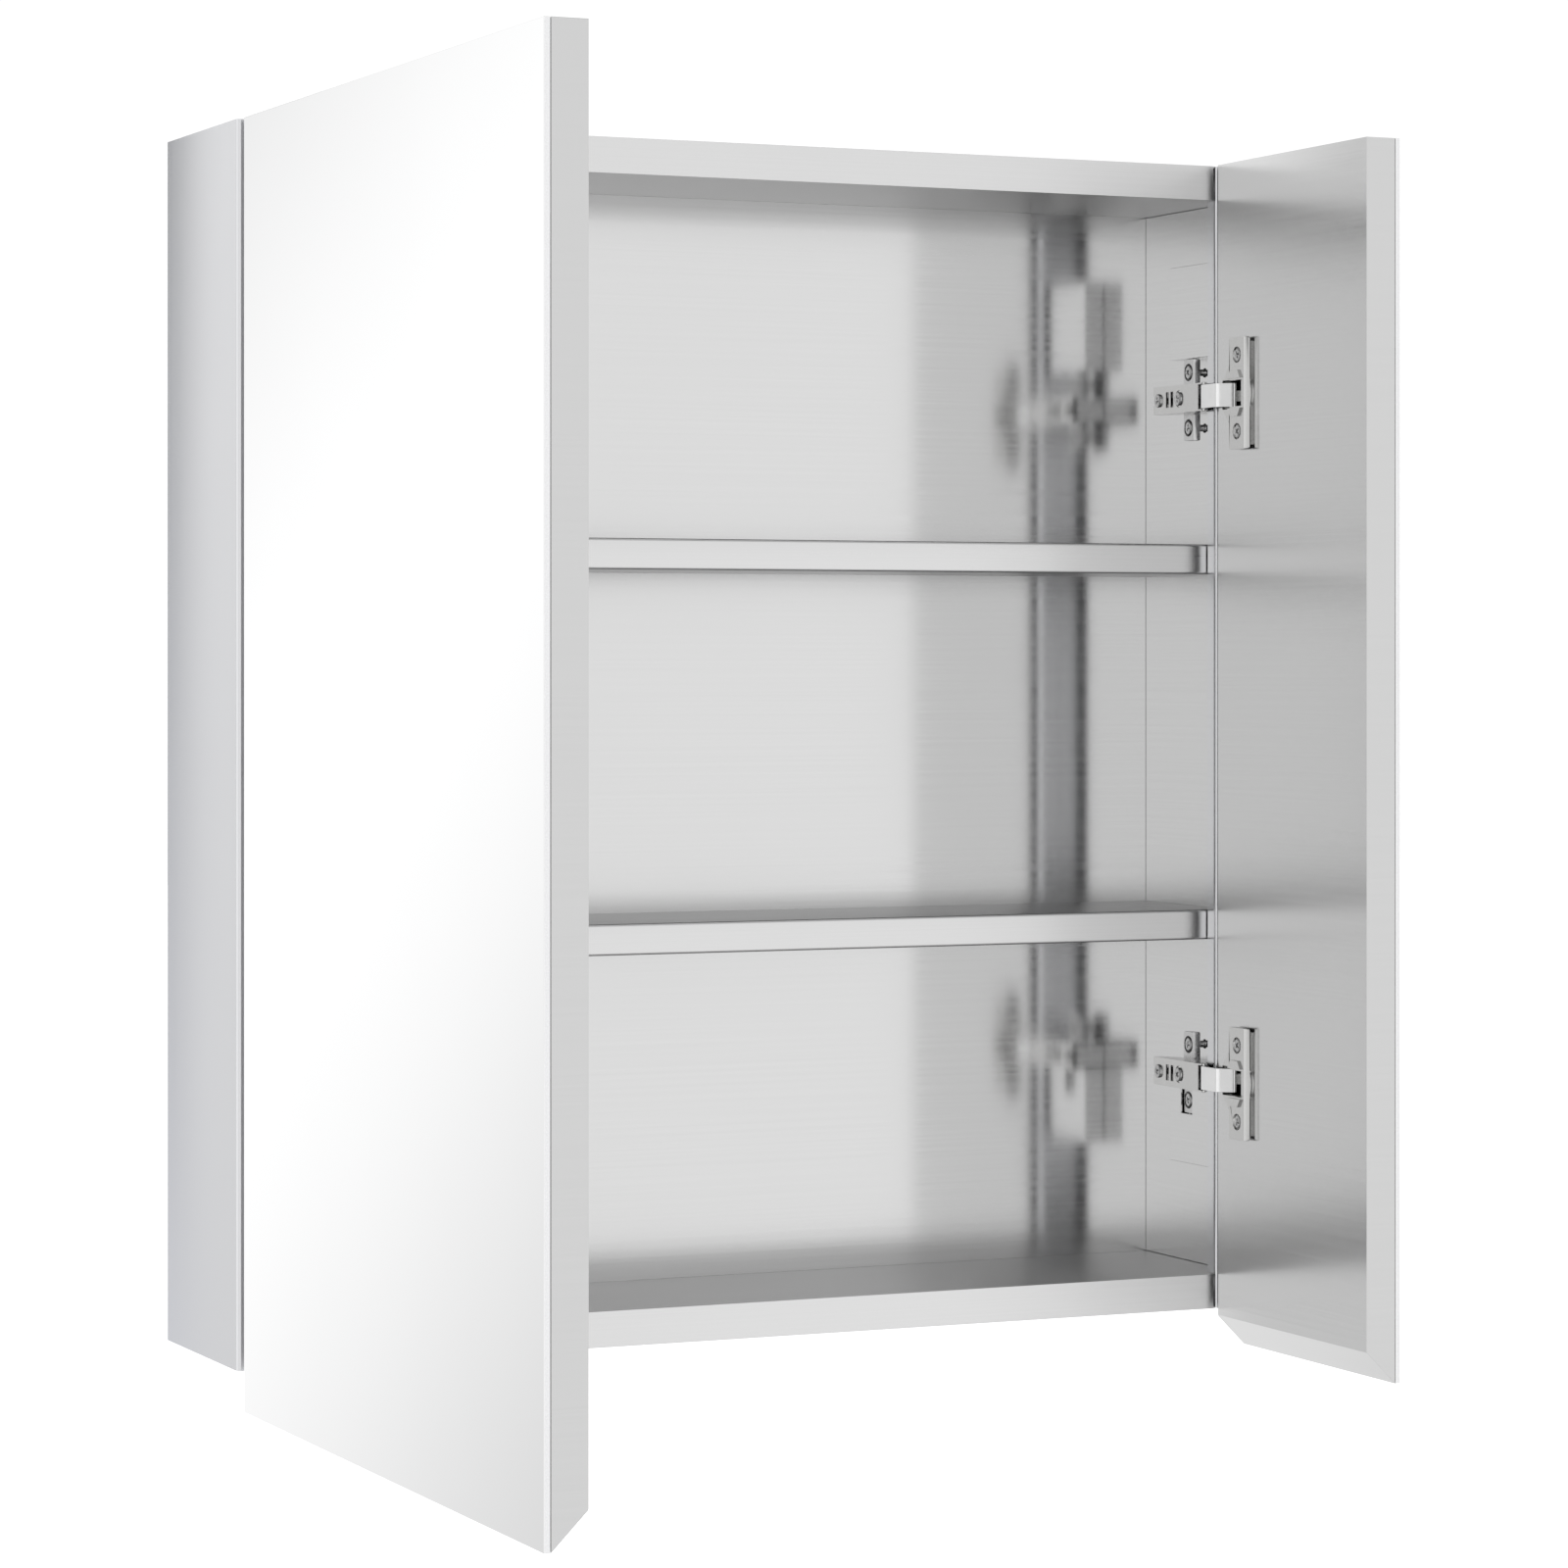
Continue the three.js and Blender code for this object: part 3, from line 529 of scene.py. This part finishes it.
def cross_cutter():
    """A tapering cross, for the recess of a screw head whose crown is at z = 0."""
    def ring(scale, height):
        a = HEAD_RADIUS * RECESS["length"] * scale
        b = HEAD_RADIUS * RECESS["width"] * scale
        arm = [(a, -b), (a, b), (b, b)]
        corners = []
        for _ in range(4):
            corners += arm
            arm = [(-y, x) for x, y in arm]
        return [(x, y, height) for x, y in corners]
    return ringed("cross", [ring(RECESS["taper"], -RECESS["depth"]), ring(1.0, HEAD_RISE)])


def thread_ring(height):
    """A ring of the threaded shank; its crest turns once round in each pitch."""
    def radius_at(share):
        phase = (height / THREAD_PITCH - share) % 1
        return SHANK_RADIUS - THREAD_DEPTH * abs(2 * phase - 1)
    return turned(radius_at, height)


def dome_ring(turn):
    """A ring of the screw head's domed front, from its rim at turn 0 towards its crown."""
    flat = HEAD_DOME["flat"]
    radius = HEAD_RADIUS * (flat + (1 - flat) * math.cos(turn))
    return circle(radius, HEAD_RISE * (math.sin(turn) - 1))


def screw_mesh(kind):
    """A domed screw along z with its crown at z = 0, a crossed recess and a threaded shank."""
    length = SCREW_LENGTHS[kind]
    shank = length - HEAD_HEIGHT
    steps = int(shank / THREAD_PITCH * RINGS_PER_PITCH)
    rings = [thread_ring(-length + shank * i / steps) for i in range(steps + 1)]
    rings.append(circle(HEAD_RADIUS, -HEAD_HEIGHT))
    domes = HEAD_DOME["steps"]
    rings += [dome_ring(i / domes * HEAD_DOME["turn"]) for i in range(domes + 1)]
    return carved(ringed(f"{kind}_screw_shape", rings), [cross_cutter()])


def finish_piece(piece, body, slot, width):
    round_edges(piece, width)
    piece.data.materials.clear()
    piece.data.materials.append(MATERIALS[slot])
    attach(piece, body)


def set_screw(name, mesh, body, crown, facing, roll):
    """A screw with its crown at crown, its head looking along x towards the cabinet's middle."""
    piece = put_in_scene(name, mesh)
    turn = Matrix.Rotation(facing * math.pi / 2, 4, "Y") @ Matrix.Rotation(roll, 4, "Z")
    piece.matrix_world = Matrix.Translation(crown) @ turn
    finish_piece(piece, body, "screw_zinc", SCREW_EDGE)
    return piece


# ---- Hinge pieces with their finer shapes ------------------------------------------------------

def face_of(node, facing):
    """The middle of a CAD node's face towards the cabinet's middle."""
    low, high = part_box(node)
    middle = (low + high) / 2
    middle.x = high.x if facing > 0 else low.x
    return middle


def bored(node, screws, facing, sizes, cutters=()):
    """The CAD node with a flat-bottomed bore round each of its screws, and other cuts."""
    cutters = list(cutters)
    for screw in screws:
        crown = face_of(screw, facing)
        face = crown.x - facing * sizes["rise"]
        bottom = face - facing * sizes["bore_depth"]
        top = face + facing * sizes["bore"]
        cutters.append(bar_along_x(sizes["bore"], bottom, top, crown.y, crown.z))
    return carved(solid_copy(node), cutters)


def slant_cutter(face, front, slant, facing, ends):
    """A wedge along z, between two heights, that slants a front edge back towards its face."""
    outside, inside = face + facing * CUT_MARGIN, face - facing * slant["across"]
    before, back = front - CUT_MARGIN, front + slant["back"]
    corners = [(outside, before), (outside, back), (face, back), (inside, front), (inside, before)]
    if facing < 0:
        corners.reverse()
    return ringed("wedge", [[(x, y, z) for x, y in corners] for z in ends])


def wing_slants(plate, screw, facing):
    """The wedges that slant the front edges of a mounting plate's two wings."""
    low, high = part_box(plate)
    crown = face_of(screw, facing)
    face = crown.x - facing * PLATE_SCREW["rise"]
    front = crown.y - WING_FRONT
    heights = (
        (low.z - CUT_MARGIN, low.z + WING_LENGTH),
        (high.z - WING_LENGTH, high.z + CUT_MARGIN),
    )
    return [slant_cutter(face, front, WING_SLANT, facing, ends) for ends in heights]


def foot_cutter(cup, side):
    """What is taken from under a cup's bar, so that it stands on a foot set in from its edges."""
    facing = SIDES[side]
    low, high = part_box(cup)
    pan = face_of(f"{side}_door_pan", facing).x
    inset = BAR_FOOT["inset"]
    bottom = pan + facing * BAR_FOOT["clear_of_pan"]
    top = pan + facing * (BAR_FOOT["above_pan"] + BAR_FOOT["height"])
    start, end = sorted((bottom, top))
    rear = low.y + BAR_WIDTH
    slab = block((start, low.y - inset, low.z - inset), (end, rear + inset, high.z + inset))
    foot_low = (start - inset, low.y + inset, low.z + inset)
    foot_high = (end + inset, rear - inset, high.z - inset)
    middle = (low.z + high.z) / 2
    radius = CUP_RADIUS + CUP_COLLAR
    pot = bar_along_x(radius, start - inset, end + inset, high.y - CUP_RADIUS, middle)
    return carved(slab, [block(foot_low, foot_high), pot])


def make_plate(place, facing, roll, screw_shapes):
    """A hinge's mounting plate and the two screws through its wings."""
    plate = f"mounting_plate_{place}"
    screws = {end: f"plate_screw_{end}_{place}" for end in ("upper", "lower")}
    slants = wing_slants(plate, screws["upper"], facing)
    mesh = bored(plate, screws.values(), facing, PLATE_SCREW, slants)
    piece = put_in_scene(f"{plate}_shape", mesh)
    finish_piece(piece, "cabinet", "plate_zinc", PLATE_EDGE)
    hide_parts(plate)
    for end, screw in screws.items():
        crown = face_of(screw, facing)
        crown.x -= facing * (PLATE_SCREW["rise"] - PLATE_CROWN_RISE)
        turn = roll + PLATE_SCREW_ROLLS[end]
        piece = set_screw(f"{screw}_shape", screw_shapes["plate"], "cabinet", crown, facing, turn)
        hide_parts(screw)


def make_arm(place, facing, roll, screw_shapes):
    """A hinge's arm with its side screw, and the depth screw behind that."""
    arm = f"hinge_arm_{place}"
    screw = f"side_screw_{place}"
    piece = put_in_scene(f"{arm}_shape", bored(arm, [screw], facing, SIDE_SCREW))
    finish_piece(piece, "cabinet", "hinge_nickel", ARM_EDGE)
    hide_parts(arm)
    crown = face_of(screw, facing)
    turn = roll + SIDE_SCREW_ROLL
    piece = set_screw(f"{screw}_shape", screw_shapes["side"], "cabinet", crown, facing, turn)
    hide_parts(screw)
    crown.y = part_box(f"mounting_plate_{place}")[1].y - DEPTH_SCREW_FROM_REAR
    turn = roll + DEPTH_SCREW_ROLL
    set_screw(f"depth_screw_{place}", screw_shapes["depth"], "cabinet", crown, facing, turn)


def make_cup(place, side, roll, screw_shapes):
    """A hinge's cup with its bar, and the two screws through the bar."""
    facing = SIDES[side]
    door = f"{side}_door"
    cup = f"hinge_cup_{place}"
    low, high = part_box(cup)
    bar_face = face_of(f"cup_screw_upper_{place}", facing).x
    ends = (low.z - CUT_MARGIN, high.z + CUT_MARGIN)
    slant = slant_cutter(bar_face, low.y, BAR_SLANT, facing, ends)
    piece = put_in_scene(f"{cup}_shape", carved(solid_copy(cup), [slant, foot_cutter(cup, side)]))
    finish_piece(piece, door, "hinge_nickel", CUP_EDGE)
    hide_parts(cup)
    for end, extra in CUP_SCREW_ROLLS.items():
        screw = f"cup_screw_{end}_{place}"
        crown = face_of(screw, facing)
        piece = set_screw(f"{screw}_shape", screw_shapes["cup"], door, crown, facing, roll + extra)
        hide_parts(screw)


def make_hinges():
    screw_shapes = {kind: screw_mesh(kind) for kind in SCREW_LENGTHS}
    places = [(side, f"{side}_{level}") for side in SIDES for level in ("lower", "upper")]
    for (side, place), roll in zip(places, HINGE_ROLLS):
        make_plate(place, SIDES[side], roll, screw_shapes)
        make_arm(place, SIDES[side], roll, screw_shapes)
        make_cup(place, side, roll, screw_shapes)


# ---- Stage -------------------------------------------------------------------------------------

def make_camera():
    lens = bpy.data.cameras.new("camera")
    lens.lens = LENS
    lens.sensor_width = SENSOR
    lens.shift_x, lens.shift_y = CAMERA_SHIFT
    camera = put_in_scene("camera", lens)
    camera.location = CAMERA_PLACE
    camera.rotation_euler = (math.pi / 2, 0, -CAMERA_HEADING)
    bpy.context.scene.camera = camera


def sheet(name, corners, finish):
    """One flat face of the stage."""
    mesh = bpy.data.meshes.new(name)
    mesh.from_pydata(corners, [], [(0, 1, 2, 3)])
    mesh.materials.append(finish)
    return put_in_scene(name, mesh)


def make_floor():
    half = FLOOR_SIZE / 2
    z = CAD_BOX[0].z - FLOOR_DROP
    corners = [(-half, -half, z), (half, -half, z), (half, half, z), (-half, half, z)]
    floor = sheet("floor", corners, painted_floor())
    floor.visible_glossy = False


def make_flag():
    """A grey card behind the cabinet, unseen by the camera, that shades the side's reflection."""
    (x0, y, z0), (x1, _, z1) = FLAG_BOX
    corners = [(x0, y, z0), (x1, y, z0), (x1, y, z1), (x0, y, z1)]
    flag = sheet("flag", corners, grey_card(z0, z1))
    flag.visible_camera = False
    flag.visible_diffuse = False
    flag.visible_shadow = False


def light_by_height(t, direction):
    """ROOM_LIGHT round the horizon, POLE_LIGHT well above and below it, TOP_LIGHT overhead."""
    up = t.part(direction, "Z")
    down = t.math("MULTIPLY", up, -1.0)
    light = ROOM_LIGHT
    for way, edges, change in (
        (up, BELT_EDGES, POLE_LIGHT - ROOM_LIGHT),
        (up, TOP_EDGES, TOP_LIGHT - POLE_LIGHT),
        (down, FOOT_EDGES, POLE_LIGHT - ROOM_LIGHT),
    ):
        light = t.math("ADD", light, t.remap(way, *edges, 0.0, change, smooth=True))
    return light


def make_room_light():
    """A pale room with a soft band behind the cabinet, and white where the camera sees past it."""
    world = bpy.data.worlds.new("studio")
    bpy.context.scene.world = world
    t = Tree(world)
    direction = t.add("ShaderNodeTexCoord", out="Generated")
    aside = t.math("ABSOLUTE", t.vector("DOT_PRODUCT", direction, BAND_NORMAL, "Value"))
    band = t.remap(aside, *BAND_EDGES, *BAND_LIGHTS, smooth=True)
    near = t.vector("DOT_PRODUCT", direction, BAND_CENTRE, "Value")
    share = t.remap(near, *BAND_REACH, 0.0, 1.0, smooth=True)
    strength = t.add("ShaderNodeMix", {0: share, 2: light_by_height(t, direction), 3: band})
    lit = t.add("ShaderNodeBackground", {"Color": grey(1.0), "Strength": strength})
    white = t.add("ShaderNodeBackground", {"Color": grey(1.0), "Strength": BACKDROP_LIGHT})
    seen = t.add("ShaderNodeLightPath", out="Is Camera Ray")
    mixed = t.add("ShaderNodeMixShader", {0: seen, 1: lit, 2: white})
    t.add("ShaderNodeOutputWorld", {"Surface": mixed})


make_camera()
make_floor()
make_flag()
make_room_light()
dress_cad_nodes()
make_hinges()
bpy.context.scene.view_settings.view_transform = "Standard"
